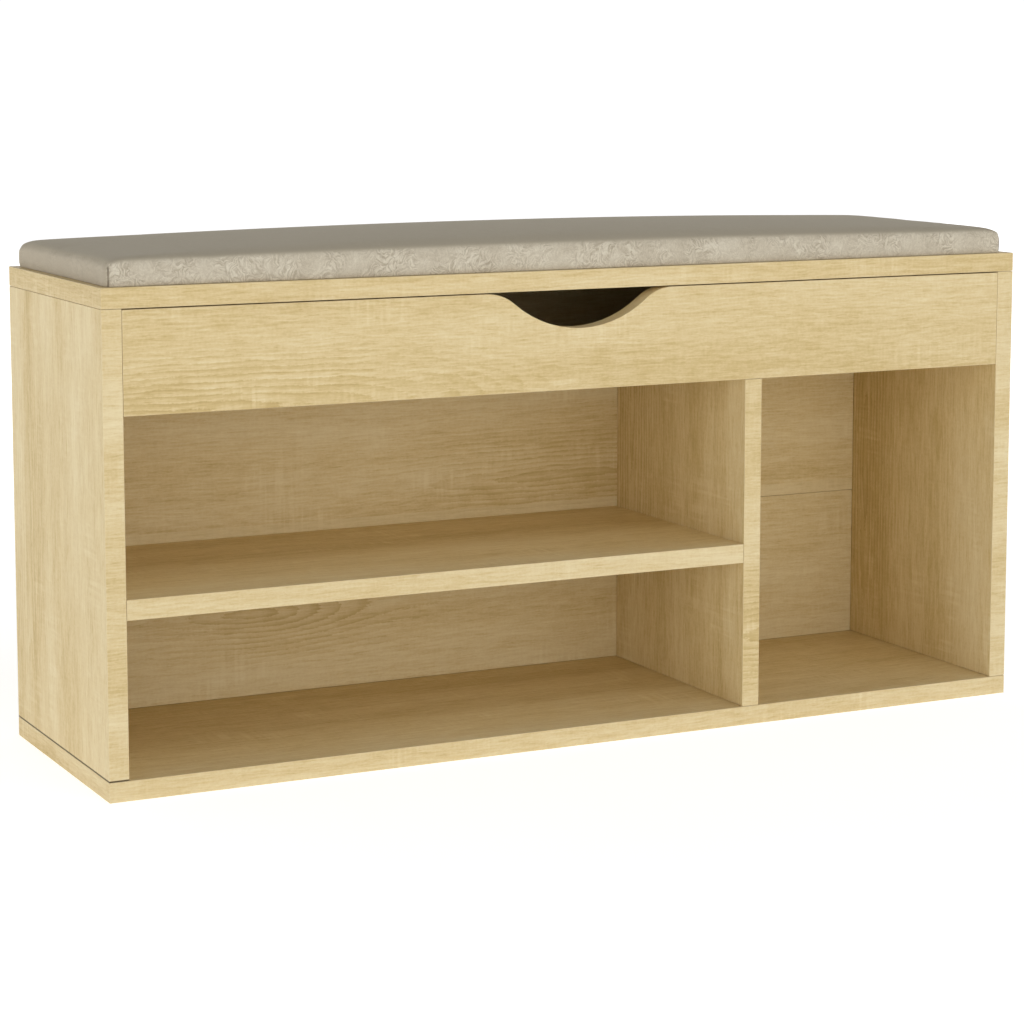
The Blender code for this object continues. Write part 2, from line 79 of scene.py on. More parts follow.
# Studio
SKY_SIDE = 1.05  # brightness of the surroundings near the horizon
SKY_TOP = 0.02  # and overhead
SKY_FALL = (0.22, 0.86)  # upward slopes between which it fades from one to the other
SKY_SEEN = 1.05  # brightness behind the bench, as the camera sees it
SKY_TINT = (1.0, 1.0, 1.010, 1.0)
FLOOR_GLOW = 0.58  # light that the pale floor gives back besides what falls on it
FLOOR_SEEN = 0.10  # the camera sees it this much brighter
FLOOR_FAR = 0.5  # and this much more where the floor meets the background
FLOOR_FADE = (0.7, 2.6)  # distances from the bench between which that comes in
FLOOR_SIZE = 14.0
FLOOR_DROP = 0.0002
LAMPS = {
    "front_softbox": {"place": (0.3, -3.6, 0.70), "size": (3.2, 1.6), "power": 8.5},
    "high_softbox": {"place": (0.4, -2.0, 3.10), "size": (3.0, 1.2), "power": 14.0},
    "left_softbox": {"place": (-3.3, -0.9, 0.70), "size": (2.6, 1.5), "power": 10.0},
    "rear_softbox": {"place": (0.8, 3.4, 1.0), "size": (3.0, 1.6), "power": 8.0},
}
LAMP_TARGET = (0.0, 0.0, 0.28)

# Oak foil: how far each feature moves the tone
OAK_MIX = {
    "fibre": 0.62,
    "grit": 0.26,
    "rasp": 0.13,
    "shimmer": 0.16,
    "streak": 0.24,
    "band": 0.46,
    "rings": 0.34,
    "pores": 0.12,
    "saw": 0.15,
}
RINGS = 175.0  # growth rings in a metre
DEPTH_SHADE_FRONT, DEPTH_SHADE_REAR = -0.16, 0.14  # painted shade: boards inside the bays are painted darker toward the rear and paler toward the front, between these depths
# painted highlight: how far the boards are painted paler along their edges
EDGE_HIGHLIGHT_SHOWN = 0.22
DUST_SHOWN = 0.04
DUST_ROUGH = 0.12
FOOT_GLUE_AND_SHADE = (0.0008, 0.0020)  # heights above the foot over which the dark joint line, a glue line with painted shade in the joint, fades
PALE_BAND_SHOWN = 0.35
PALE_BAND_FADE = 0.001
EDGE_HIGHLIGHT_COLOUR = (0.80, 0.70, 0.47, 1.0)
DUST_COLOUR = (0.72, 0.70, 0.64, 1.0)
FOOT_GLUE_AND_SHADE_COLOUR = (0.10, 0.065, 0.025, 1.0)
PALE_BAND_COLOUR = (0.86, 0.74, 0.47, 1.0)
METAL_WORN = (0.30, 0.28, 0.25, 1.0)

# Nap of the cushion's cloth
TUFTS = 85.0  # in a metre
TUFT_STIR = 0.012  # how far their outlines wander
STROKES_ALONG, STROKES_ACROSS = 120.0, 560.0  # brush strokes in a metre each way
STROKE_BOW = 70.0
STROKE_SHOWN = (0.08, 0.28)  # everywhere, and more inside the patches
PAINTED_TOP_SHADE = (0.22, 0.18, 0.085, 1.0)  # painted shade on the flat top, which gets less light from above
PAINTED_TOP_SHADE_SHOWN = 0.19
# painted shade in the creases of the seams between end panels and long panel
SEAM_SHADE_COLOUR = (0.14, 0.11, 0.075, 1.0)
SEAM_SHADE_SHOWN = 0.75

# Cushion
PAD_VOXEL = 0.005
PAD_CORNER = 0.006  # round of the closed form's edges
PAD_SIDE_PULL = 0.0016  # how far the long sides draw in between the corners
PAD_END_PULL = 0.0010
PAD_EDGE_HEIGHT = 0.0245
PAD_DROOP = 0.0045  # the corners sit this much lower than the edges
PAD_LIP = 0.0035  # rise of the long edges' middle above the corners
PAD_HEADROOM = 0.001  # left for the swelling
PAD_SHRINK = 0.0015
PAD_PRESSURE = 4.0
PAD_FRAMES = 20
PAD_CAP = 0.0026
SEAM_INSET = 0.0065  # end panels reach this far round onto the long faces
SEAM_HALF = 0.0011
SEAM_DEPTH = 0.0011
SHARP_FOLD = 60.0  # degrees
CROWN_ALONG, CROWN_ACROSS = (2.4, 0.9), (2.2, 0.8)  # powers that keep its middle flat
CORNER_ALONG, CORNER_ACROSS = (0.965, 0.035), (0.6, 0.4)  # where corners begin, and their reach
CUT_NEAR = 0.00002  # points this near a cut count as on it
SEAM_NEAR = 0.00005

# Zip
ZIP_BAND = 0.009  # half the height of the straight band that the zip is sewn into
ZIP_BAND_FADE = 0.004
ZIP_BAND_END = 0.020  # the band runs on past the zip's ends
ZIP_SEAT = 0.0002  # gap between the cover and the tapes
REAR_FACE = 0.02  # points this near the rear are its rear face
REAR_BULGE = 0.0008  # most that the rear face may stand out
ZIP_TAPE = 0.0005  # thickness
ZIP_PITCH = 0.0012
ZIP_TOOTH = (0.0008, 0.0007, 0.0026)
ZIP_TOOTH_EDGE = 0.00018
ZIP_TOOTH_SIDE = 0.18  # teeth stand off the middle by this share of their height
ZIP_BEAD_SIDE = 0.62  # and the tapes' beads by this share
ZIP_BEAD = 1.6  # bead height, in tape thicknesses
ZIP_TUCK = 0.0006  # how far the tapes run in under the teeth
ZIP_END = 0.004  # bare tape at each end


# ---------------------------------------------------------------- node wiring


class Wiring:
    """Short calls for the nodes that the materials use most."""

    def __init__(self, tree):
        self.tree = tree

    def node(self, kind, **settings):
        node = self.tree.nodes.new(kind)
        for name, value in settings.items():
            setattr(node, name, value)
        return node

    def join(self, value, socket):
        if isinstance(value, bpy.types.NodeSocket):
            self.tree.links.new(value, socket)
        elif value is not None:
            socket.default_value = value

    def math(self, operation, first, second=None):
        node = self.node("ShaderNodeMath", operation=operation)
        for value, socket in zip((first, second), node.inputs):
            self.join(value, socket)
        return node.outputs[0]

    def add(self, first, second):
        return self.math("ADD", first, second)

    def times(self, first, second):
        return self.math("MULTIPLY", first, second)

    def less(self, first, second):
        return self.math("SUBTRACT", first, second)

    def pick(self, factor, first, second):
        """first where factor is 0, second where it is 1."""
        node = self.node("ShaderNodeMix", data_type="FLOAT")
        for value, socket in zip((factor, first, second), (0, 2, 3)):
            self.join(value, node.inputs[socket])
        return node.outputs[0]

    def blend(self, factor, first, second):
        """The first colour where factor is 0, the second where it is 1."""
        node = self.node("ShaderNodeMix", data_type="RGBA")
        for value, socket in zip((factor, first, second), (0, 6, 7)):
            self.join(value, node.inputs[socket])
        return node.outputs[2]

    def rise(self, value, low, high):
        """Smoothly from 0 at low to 1 at high."""
        node = self.node("ShaderNodeMapRange", interpolation_type="SMOOTHSTEP")
        for number, socket in zip((value, low, high), (0, 1, 2)):
            self.join(number, node.inputs[socket])
        return node.outputs[0]

    def point(self, x, y, z):
        node = self.node("ShaderNodeCombineXYZ")
        for value, socket in zip((x, y, z), node.inputs):
            self.join(value, socket)
        return node.outputs[0]

    def vector(self, operation, *values):
        """The outputs of a vector sum: its vector, then its number."""
        node = self.node("ShaderNodeVectorMath", operation=operation)
        for value, socket in zip(values, node.inputs):
            self.join(value, socket)
        return node.outputs

    def parts(self, vector):
        node = self.node("ShaderNodeSeparateXYZ")
        self.join(vector, node.inputs[0])
        return node.outputs

    def noise(self, vector, scale=1.0, detail=2.0, roughness=0.5, distortion=0.0):
        node = self.node("ShaderNodeTexNoise")
        self.join(vector, node.inputs["Vector"])
        node.inputs["Scale"].default_value = scale
        node.inputs["Detail"].default_value = detail
        node.inputs["Roughness"].default_value = roughness
        node.inputs["Distortion"].default_value = distortion
        return node.outputs[0]

    def stretched(self, along, across, seed, per_along, per_across, detail=2.0, roughness=0.5):
        """Noise drawn out along the grain: cycles per metre each way."""
        place = self.point(self.times(along, per_along), self.times(across, per_across), seed)
        return self.noise(place, detail=detail, roughness=roughness)

    def ramp(self, factor, stops):
        node = self.node("ShaderNodeValToRGB")
        self.join(factor, node.inputs[0])
        band = node.color_ramp
        while len(band.elements) < len(stops):
            band.elements.new(0.5)
        for element, (position, colour) in zip(band.elements, stops):
            element.position = position
            element.color = (*colour, 1.0)
        return node.outputs[0]

    def bump(self, height, strength, distance):
        node = self.node("ShaderNodeBump")
        self.join(height, node.inputs["Height"])
        node.inputs["Strength"].default_value = strength
        node.inputs["Distance"].default_value = distance
        return node.outputs[0]


def new_group(name, inputs, outputs):
    """A node group with its sockets: (name, kind, default) each way."""
    tree = bpy.data.node_groups.new(name, "ShaderNodeTree")
    for label, kind, default in inputs:
        socket = tree.interface.new_socket(label, in_out="INPUT", socket_type=kind)
        socket.default_value = default
    for label, kind in outputs:
        tree.interface.new_socket(label, in_out="OUTPUT", socket_type=kind)
    wiring = Wiring(tree)
    given = wiring.node("NodeGroupInput").outputs
    return tree, wiring, given, wiring.node("NodeGroupOutput").inputs


def new_material(name):
    """A material, its wiring, and the sockets of its shader."""
    material = bpy.data.materials.new(name)
    material.use_nodes = True
    shader = material.node_tree.nodes["Principled BSDF"]
    return material, Wiring(material.node_tree), shader.inputs


def use_group(wiring, tree, **values):
    """Puts a shared group into a material, with its inputs given by name."""
    node = wiring.node("ShaderNodeGroup")
    node.node_tree = tree
    for label, value in values.items():
        wiring.join(value, node.inputs[label.replace("_", " ")])
    return node.outputs


# ---------------------------------------------------------------- shared effects

NUMBER = "NodeSocketFloat"
COLOUR = "NodeSocketColor"
VECTOR = "NodeSocketVector"


def board_face_group():
    """Distances along and across the grain on the face being shaded."""
    tree, w, given, out = new_group(
        "Board face",
        [("Place", VECTOR, (0, 0, 0)), ("Facing", VECTOR, (0, 0, 1)), ("Upright", NUMBER, 0.0)],
        [("Along", NUMBER), ("Across", NUMBER), ("Face", NUMBER)],
    )
    x, y, z = w.parts(given["Place"])
    facing = w.parts(given["Facing"])
    on_end = w.math("GREATER_THAN", w.math("ABSOLUTE", facing[0]), 0.7)
    on_flat = w.math("GREATER_THAN", w.math("ABSOLUTE", facing[2]), 0.7)
    along_end = w.pick(given["Upright"], y, z)
    across_end = w.pick(given["Upright"], z, y)
    w.join(w.pick(on_end, x, along_end), out["Along"])
    w.join(w.pick(on_end, w.pick(on_flat, z, y), across_end), out["Across"])
    w.join(w.add(w.times(on_end, 11.3), w.times(on_flat, 23.9)), out["Face"])
    return tree


def oak_group():
    """Light rough-sawn oak foil: fibres, rings round a heart, pores and pale saw marks."""
    tree, w, given, out = new_group(
        "Oak foil",
        [
            ("Along", NUMBER, 0.0),
            ("Across", NUMBER, 0.0),
            ("Seed", NUMBER, 0.0),
            ("Heart", NUMBER, 0.0),
            ("Depth", NUMBER, 0.03),
            ("Lean", NUMBER, 0.10),
            ("Spot", NUMBER, 0.0),
            ("Figure", NUMBER, 1.0),
            ("Bands", NUMBER, 1.0),
            ("Tone", NUMBER, 0.0),
        ],
        [("Color", COLOUR), ("Roughness", NUMBER), ("Height", NUMBER)],
    )
    along, across, seed = given["Along"], given["Across"], given["Seed"]
    wander = w.stretched(along, across, seed, 1.3, 5.0)
    ripple = w.stretched(along, across, w.add(seed, 3.1), 9.0, 26.0)
    shifted = w.add(across, w.times(w.less(wander, 0.5), 0.018))
    shifted = w.add(shifted, w.times(w.less(ripple, 0.5), 0.006))

    fibre = w.stretched(along, shifted, seed, 38.0, 430.0, 3.0, 0.62)
    grit = w.stretched(along, across, w.add(seed, 5.3), 330.0, 520.0, 2.0, 0.6)
    streak = w.stretched(along, shifted, w.add(seed, 9.4), 6.0, 150.0, 2.0)
    band = w.stretched(along, shifted, w.add(seed, 17.7), 1.8, 17.0, 3.0)
    pores = w.rise(w.stretched(along, shifted, w.add(seed, 51.2), 70.0, 900.0, 1.0), 0.60, 0.74)

    wobble = w.less(w.stretched(along, 0.0, w.add(seed, 29.0), 2.6, 1.0), 0.5)
    depth = w.add(w.add(given["Depth"], w.times(along, given["Lean"])), w.times(wobble, 0.05))
    off = w.less(shifted, given["Heart"])
    reach = w.math("SQRT", w.add(w.times(off, off), w.times(depth, depth)))
    jitter = w.add(w.times(w.less(fibre, 0.5), 0.45), w.times(w.less(grit, 0.5), 0.35))
    turn = w.math("FRACT", w.add(w.times(reach, RINGS), jitter))
    late = w.times(w.math("POWER", turn, 2.0), w.less(1.0, w.rise(turn, 0.86, 1.0)))
    near = w.less(1.0, w.rise(reach, 0.020, 0.090))
    aside = w.math("ABSOLUTE", w.less(along, given["Spot"]))
    at_spot = w.less(1.0, w.rise(aside, 0.06, 0.24))
    patch = w.rise(w.stretched(along, across, w.add(seed, 23.5), 3.2, 9.0), 0.36, 0.60)
    patch = w.math("MAXIMUM", w.times(patch, 0.45), at_spot)
    rings = w.times(w.times(late, near), w.times(patch, given["Figure"]))
    eye = w.less(1.0, w.rise(reach, 0.004, 0.016))
    rings = w.add(rings, w.times(w.times(eye, at_spot), w.times(given["Figure"], 0.15)))

    strokes = w.rise(w.stretched(along, across, w.add(seed, 31.6), 190.0, 9.0, 1.0), 0.42, 0.70)
    place = w.rise(w.stretched(along, across, w.add(seed, 41.8), 11.0, 22.0, 2.0), 0.50, 0.74)
    saw = w.times(strokes, place)
    rasp = w.stretched(along, across, w.add(seed, 63.1), 300.0, 70.0, 2.0, 0.6)
    shimmer = w.stretched(along, across, w.add(seed, 71.4), 28.0, 60.0, 2.0)

    band_share = w.times(given["Bands"], OAK_MIX["band"])
    value = w.add(0.5, w.times(w.less(fibre, 0.5), OAK_MIX["fibre"]))
    value = w.add(value, w.times(w.less(grit, 0.5), OAK_MIX["grit"]))
    value = w.add(value, w.times(w.less(rasp, 0.5), OAK_MIX["rasp"]))
    value = w.add(value, w.times(w.less(shimmer, 0.5), OAK_MIX["shimmer"]))
    value = w.add(value, w.times(w.less(streak, 0.5), OAK_MIX["streak"]))
    value = w.add(value, w.times(w.less(band, 0.5), band_share))
    value = w.less(value, w.times(rings, OAK_MIX["rings"]))
    value = w.less(value, w.times(pores, OAK_MIX["pores"]))
    value = w.add(value, w.times(saw, OAK_MIX["saw"]))
    value = w.add(value, given["Tone"])
    stops = (
        (0.0, (0.470, 0.320, 0.115)),
        (0.32, (0.625, 0.470, 0.210)),
        (0.5, (0.725, 0.568, 0.296)),
        (0.72, (0.805, 0.668, 0.395)),
        (1.0, (0.870, 0.755, 0.495)),
    )
    w.join(w.ramp(value, stops), out["Color"])
    rough = w.add(0.50, w.times(w.less(streak, 0.5), 0.16))
    w.join(w.add(rough, w.times(pores, 0.10)), out["Roughness"])
    height = w.less(w.times(fibre, 0.6), w.times(pores, 0.5))
    w.join(w.less(height, w.times(rings, 0.25)), out["Height"])
    return tree


def edge_group():
    """A board's long edges: 1 within Reach of where two of its faces meet."""
    tree, w, given, out = new_group(
        "Board edges",
        [
            ("Place", VECTOR, (0, 0, 0)),
            ("Low", VECTOR, (0, 0, 0)),
            ("High", VECTOR, (1, 1, 1)),
            ("Reach", NUMBER, 0.0012),
        ],
        [("Edge", NUMBER)],
    )
    point = w.parts(given["Place"])
    low, high = w.parts(given["Low"]), w.parts(given["High"])
    near = []
    for axis in range(3):
        gap = w.math("MINIMUM", w.less(point[axis], low[axis]), w.less(high[axis], point[axis]))
        near.append(w.less(1.0, w.rise(gap, 0.0, given["Reach"])))
    first = w.add(w.add(near[0], near[1]), near[2])
    w.join(w.rise(first, 1.0, 2.0), out["Edge"])
    return tree


def dust_group():
    """Faint settled dust and handling marks, stronger on faces that look up."""
    tree, w, given, out = new_group(
        "Light dust",
        [("Place", VECTOR, (0, 0, 0)), ("Facing", VECTOR, (0, 0, 1))],
        [("Dust", NUMBER)],
    )
    up = w.rise(w.parts(given["Facing"])[2], 0.2, 1.0)
    cloud = w.rise(w.noise(given["Place"], 9.0, 3.0), 0.42, 0.75)
    w.join(w.times(cloud, w.add(0.25, w.times(up, 0.5))), out["Dust"])
    return tree


GROUPS = {}


def build_groups():
    GROUPS["face"] = board_face_group()
    GROUPS["oak"] = oak_group()
    GROUPS["edges"] = edge_group()
    GROUPS["dust"] = dust_group()


# ---------------------------------------------------------------- materials


OAK_DEFAULTS = {
    "upright": 0.0,  # 1 where the grain runs up on the faces turned to left and right
    "seed": 0.0,  # which piece of the pattern
    "heart": 0.0,  # where the heart of the tree lies across the board
    "depth": 0.03,  # how deep it lies under the face
    "lean": 0.1,  # how much deeper it gets in each metre along the board
    "spot": 0.0,  # where along the board the figure shows most
    "figure": 1.0,  # strength of the figure
    "bands": 1.0,  # strength of the broad bands
    "tone": 0.0,  # lighter or darker as a whole
    "foot_glue_and_shade": 0.0,  # strength of a dark line along the foot: a glue line with painted shade in the joint
    "pale_foot": 0.0,  # height of a pale band along the foot
    "depth_shade": 0.0,  # painted shade: how much paler the front is painted than the rear
}


def oak_board(node, given):
    """Oak foil fitted to one board of the frame; given holds what differs from OAK_DEFAULTS."""
    look = {**OAK_DEFAULTS, **given}
    low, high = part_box(node)
    material, w, shader = new_material(f"oak_{node}")
    place = w.node("ShaderNodeTexCoord").outputs
    face = use_group(
        w, GROUPS["face"], Place=place["Object"], Facing=place["Normal"], Upright=look["upright"]
    )
    depth_in = w.parts(place["Object"])[1]
    # painted shade: 1 at the front of the bays and 0 at the rear, so the rear is painted darker
    depth_shade = w.less(1.0, w.rise(depth_in, DEPTH_SHADE_FRONT, DEPTH_SHADE_REAR))
    tone = w.add(look["tone"], w.times(w.less(depth_shade, 0.5), look["depth_shade"]))
    oak = use_group(
        w,
        GROUPS["oak"],
        Along=face["Along"],
        Across=face["Across"],
        Seed=w.add(face["Face"], look["seed"]),
        Heart=look["heart"],
        Depth=look["depth"],
        Lean=look["lean"],
        Spot=look["spot"],
        Figure=look["figure"],
        Bands=look["bands"],
        Tone=tone,
    )
    edge = use_group(w, GROUPS["edges"], Place=place["Object"], Low=tuple(low), High=tuple(high))
    dust = use_group(w, GROUPS["dust"], Place=place["Object"], Facing=place["Normal"])
    # painted highlight: the boards are painted paler within a millimetre of their edges
    edge_lit = w.blend(w.times(edge["Edge"], EDGE_HIGHLIGHT_SHOWN), oak["Color"], EDGE_HIGHLIGHT_COLOUR)
    shade = w.blend(w.times(dust["Dust"], DUST_SHOWN), edge_lit, DUST_COLOUR)
    height = w.parts(place["Object"])[2]
    # dark glue line with painted shade in the joint along the foot
    if look["foot_glue_and_shade"]:
        foot = w.less(1.0, w.rise(height, low.z + FOOT_GLUE_AND_SHADE[0], low.z + FOOT_GLUE_AND_SHADE[1]))
        shade = w.blend(w.times(foot, look["foot_glue_and_shade"]), shade, FOOT_GLUE_AND_SHADE_COLOUR)
    if look["pale_foot"]:
        top = low.z + look["pale_foot"]
        pale = w.less(1.0, w.rise(height, top - PALE_BAND_FADE, top))
        shade = w.blend(w.times(pale, PALE_BAND_SHOWN), shade, PALE_BAND_COLOUR)
    w.join(shade, shader["Base Color"])
    w.join(w.add(oak["Roughness"], w.times(dust["Dust"], DUST_ROUGH)), shader["Roughness"])
    w.join(w.bump(oak["Height"], 0.35, 0.0004), shader["Normal"])
    shader["IOR"].default_value = 1.45
    shader["Specular IOR Level"].default_value = 0.30
    return material


def metal(name, colour, roughness, brush):
    """Plated metal with fine brushing and dulled patches."""
    material, w, shader = new_material(name)
    place = w.node("ShaderNodeTexCoord").outputs
    x, y, z = w.parts(place["Object"])
    fine = w.noise(w.point(w.times(x, brush), w.times(y, 9000.0), w.times(z, 9000.0)), detail=2.0)
    dull = w.rise(w.noise(place["Object"], 420.0, 3.0), 0.45, 0.75)
    w.join(w.blend(w.times(dull, 0.35), (*colour, 1.0), METAL_WORN), shader["Base Color"])
    w.join(w.add(roughness, w.times(dull, 0.18)), shader["Roughness"])
    w.join(w.less(1.0, w.times(dull, 0.15)), shader["Metallic"])
    w.join(w.bump(fine, 0.25, 0.00005), shader["Normal"])
    return material


def beech():
    """Fluted dowel wood: fine flecks on a pinkish tan."""
    material, w, shader = new_material("beech")
    place = w.node("ShaderNodeTexCoord").outputs
    x, y, z = w.parts(place["Object"])
    fleck = w.noise(w.point(w.times(x, 120.0), w.times(y, 1400.0), w.times(z, 1400.0)), detail=3.0)
    stops = ((0.3, (0.42, 0.27, 0.15)), (0.6, (0.62, 0.43, 0.26)), (0.9, (0.70, 0.52, 0.34)))
    w.join(w.ramp(fleck, stops), shader["Base Color"])
    w.join(w.add(0.6, w.times(fleck, 0.2)), shader["Roughness"])
    w.join(w.bump(fleck, 0.3, 0.0002), shader["Normal"])
    return material


def rubber():
    """Milky clear bumper pads."""
    material, w, shader = new_material("bumper_pad")
    place = w.node("ShaderNodeTexCoord").outputs
    cloud = w.noise(place["Object"], 900.0, 2.0)
    stops = ((0.3, (0.62, 0.61, 0.58)), (0.7, (0.78, 0.77, 0.74)))
    w.join(w.ramp(cloud, stops), shader["Base Color"])
    w.join(w.add(0.35, w.times(cloud, 0.2)), shader["Roughness"])
    w.join(w.bump(cloud, 0.15, 0.0001), shader["Normal"])
    shader["Transmission Weight"].default_value = 0.25
    return material


def hook_tape():
    """Woven tape with rows of tiny hooks."""
    material, w, shader = new_material("hook_tape")
    place = w.node("ShaderNodeTexCoord").outputs
    x, y, _ = w.parts(place["Object"])
    rows = w.times(w.math("SINE", w.times(x, 4200.0)), w.math("SINE", w.times(y, 3600.0)))
    hooks = w.rise(rows, 0.1, 0.9)
    stops = ((0.0, (0.020, 0.019, 0.018)), (1.0, (0.075, 0.072, 0.068)))
    w.join(w.ramp(hooks, stops), shader["Base Color"])
    w.join(w.less(0.85, w.times(hooks, 0.25)), shader["Roughness"])
    w.join(w.bump(hooks, 0.8, 0.0005), shader["Normal"])
    return material


def nap_strokes(w, where):
    """Short bowed brush strokes, turned a different way in each tuft, round a middle of 0."""
    stir = w.node("ShaderNodeTexNoise")
    stir.inputs["Scale"].default_value = 90.0
    w.join(where, stir.inputs["Vector"])
    drifted = w.vector("MULTIPLY_ADD", stir.outputs["Color"], (TUFT_STIR,) * 3, where)[0]
    tuft = w.node("ShaderNodeTexVoronoi")
    tuft.inputs["Scale"].default_value = TUFTS
    w.join(drifted, tuft.inputs["Vector"])
    from_root = w.vector("SUBTRACT", drifted, tuft.outputs["Position"])[0]
    across, _, up = w.parts(from_root)
    lot = w.parts(tuft.outputs["Color"])[0]
    turn = w.times(lot, math.pi)
    sine, cosine = w.math("SINE", turn), w.math("COSINE", turn)
    long_way = w.add(w.times(across, cosine), w.times(up, sine))
    short_way = w.less(w.times(up, cosine), w.times(across, sine))
    bow = w.times(w.times(long_way, long_way), STROKE_BOW)
    strands = w.noise(
        w.point(
            w.times(long_way, STROKES_ALONG),
            w.times(w.add(short_way, bow), STROKES_ACROSS),
            w.times(lot, 37.0),
        ),
        detail=1.0,
    )
    return w.less(w.rise(strands, 0.34, 0.66), 0.5)


def end_seams(w, x, faces_along):
    """1 along the seams between the end panels and the long panel."""
    low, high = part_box("cushion_cover")
    left = w.math("ABSOLUTE", w.less(x, low.x + SEAM_INSET))
    right = w.math("ABSOLUTE", w.less(x, high.x - SEAM_INSET))
    seam = w.less(1.0, w.rise(w.math("MINIMUM", left, right), 0.0003, SEAM_HALF))
    return w.times(seam, w.rise(w.math("ABSOLUTE", faces_along), 0.35, 0.75))


def nap_cloth():
    """Brushed microfibre: nap lying in short swirls on the long sides, smoother on top, with
    painted shade on the top and on the ends.
    """
    material, w, shader = new_material("brushed_microfibre")
    place = w.node("ShaderNodeTexCoord").outputs
    where, facing = place["Object"], w.parts(place["Normal"])
    flat = w.rise(facing[2], 0.35, 0.85)
    end = w.rise(w.math("ABSOLUTE", facing[0]), 0.5, 0.9)
    lay = w.noise(where, 38.0, 2.0, 0.5, 0.6)
    patch = w.rise(w.noise(where, 24.0, 2.0, 0.5, 0.5), 0.40, 0.62)
    brush = w.noise(where, 260.0, 3.0, 0.6, 2.0)
    fuzz = w.noise(where, 2400.0, 2.0, 0.6)
    calm = w.less(1.0, w.math("MAXIMUM", w.times(flat, 0.88), w.times(end, 0.75)))
    shown = w.add(STROKE_SHOWN[0], w.times(patch, STROKE_SHOWN[1]))
    lie = w.times(nap_strokes(w, where), shown)
    lie = w.add(lie, w.times(w.less(brush, 0.5), 0.55))
    lie = w.add(lie, w.times(w.less(lay, 0.5), 0.40))
    lie = w.times(lie, calm)
    value = w.add(w.add(0.53, lie), w.times(w.less(fuzz, 0.5), 0.22))
    # painted shade: the end faces are painted darker
    value = w.less(value, w.times(end, 0.15))
    stops = (
        (0.0, (0.300, 0.249, 0.175)),
        (0.3, (0.445, 0.385, 0.290)),
        (0.5, (0.565, 0.500, 0.385)),
        (0.75, (0.685, 0.626, 0.500)),
        (1.0, (0.780, 0.730, 0.610)),
    )
    # painted shade: the flat top is painted darker
    shade = w.blend(w.times(flat, PAINTED_TOP_SHADE_SHOWN), w.ramp(value, stops), PAINTED_TOP_SHADE)
    # painted shade in the sunken seams between the end panels and the long panel
    seam = end_seams(w, w.parts(where)[0], facing[1])
    w.join(w.blend(w.times(seam, SEAM_SHADE_SHOWN), shade, SEAM_SHADE_COLOUR), shader["Base Color"])
    w.join(w.less(0.92, w.times(lie, 0.1)), shader["Roughness"])
    height = w.add(w.times(fuzz, 0.35), w.times(lie, 0.6))
    w.join(w.bump(height, 0.45, 0.0006), shader["Normal"])
    shader["Sheen Weight"].default_value = 0.10
    shader["Sheen Roughness"].default_value = 0.45
    shader["Sheen Tint"].default_value = (1.0, 0.94, 0.82, 1.0)
    shader["Specular IOR Level"].default_value = 0.15
    return material


def base_weave():
    """Plain non-woven cloth under the cushion."""
    material, w, shader = new_material("base_weave")
    place = w.node("ShaderNodeTexCoord").outputs
    x, y, _ = w.parts(place["Object"])
    weave = w.times(w.math("SINE", w.times(x, 2600.0)), w.math("SINE", w.times(y, 2600.0)))
    fibre = w.noise(place["Object"], 700.0, 3.0)
    value = w.add(w.times(weave, 0.25), fibre)
    stops = ((0.3, (0.16, 0.15, 0.13)), (0.8, (0.30, 0.28, 0.25)))
    w.join(w.ramp(value, stops), shader["Base Color"])
    w.join(w.add(0.8, w.times(fibre, 0.15)), shader["Roughness"])
    w.join(w.bump(weave, 0.5, 0.0003), shader["Normal"])
    return material


def zip_cloth():
    """Herringbone zip tape in the cushion's colour."""
    low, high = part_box("cushion_zip")
    material, w, shader = new_material("zip_cloth")
    place = w.node("ShaderNodeTexCoord").outputs
    x, _, z = w.parts(place["Object"])
    from_teeth = w.math("ABSOLUTE", w.less(z, (low.z + high.z) / 2))
    weave = w.math("SINE", w.times(w.add(x, from_teeth), 5200.0))
    stops = ((0.0, (0.30, 0.27, 0.21)), (1.0, (0.46, 0.42, 0.34)))
    w.join(w.ramp(weave, stops), shader["Base Color"])
    w.join(w.add(0.75, w.times(weave, 0.08)), shader["Roughness"])
    w.join(w.bump(weave, 0.5, 0.0002), shader["Normal"])
    return material


# ---------------------------------------------------------------- cushion


def rounded_block(name, low, high, round_by):
    """A closed block with rounded edges, between two corners."""
    shape = bmesh.new()
    bmesh.ops.create_cube(shape, size=1.0)
    bmesh.ops.scale(shape, vec=high - low, verts=shape.verts)
    bmesh.ops.translate(shape, vec=(low + high) / 2, verts=shape.verts)
    bmesh.ops.bevel(
        shape, geom=shape.edges[:], offset=round_by, segments=3, profile=0.5, affect="EDGES"
    )
    return new_piece(name, shape)


def new_piece(name, shape, *materials):
    """An object in the scene from a built mesh."""
    mesh = bpy.data.meshes.new(name)
    shape.to_mesh(mesh)
    shape.free()
    for material in materials:
        mesh.materials.append(material)
    piece = bpy.data.objects.new(name, mesh)
    bpy.context.scene.collection.objects.link(piece)
    return piece


def apply_modifiers(piece):
    """The piece keeps the mesh that its modifiers make, and none of the modifiers."""
    bpy.context.view_layer.update()
    ready = piece.evaluated_get(bpy.context.evaluated_depsgraph_get())
    mesh = bpy.data.meshes.new_from_object(ready)
    piece.modifiers.clear()
    piece.data = mesh


def points_of(mesh):
    points = np.zeros(len(mesh.vertices) * 3)
    mesh.vertices.foreach_get("co", points)
    return points.reshape(-1, 3)


def set_points(mesh, points):
    mesh.vertices.foreach_set("co", points.reshape(-1))
    mesh.update()


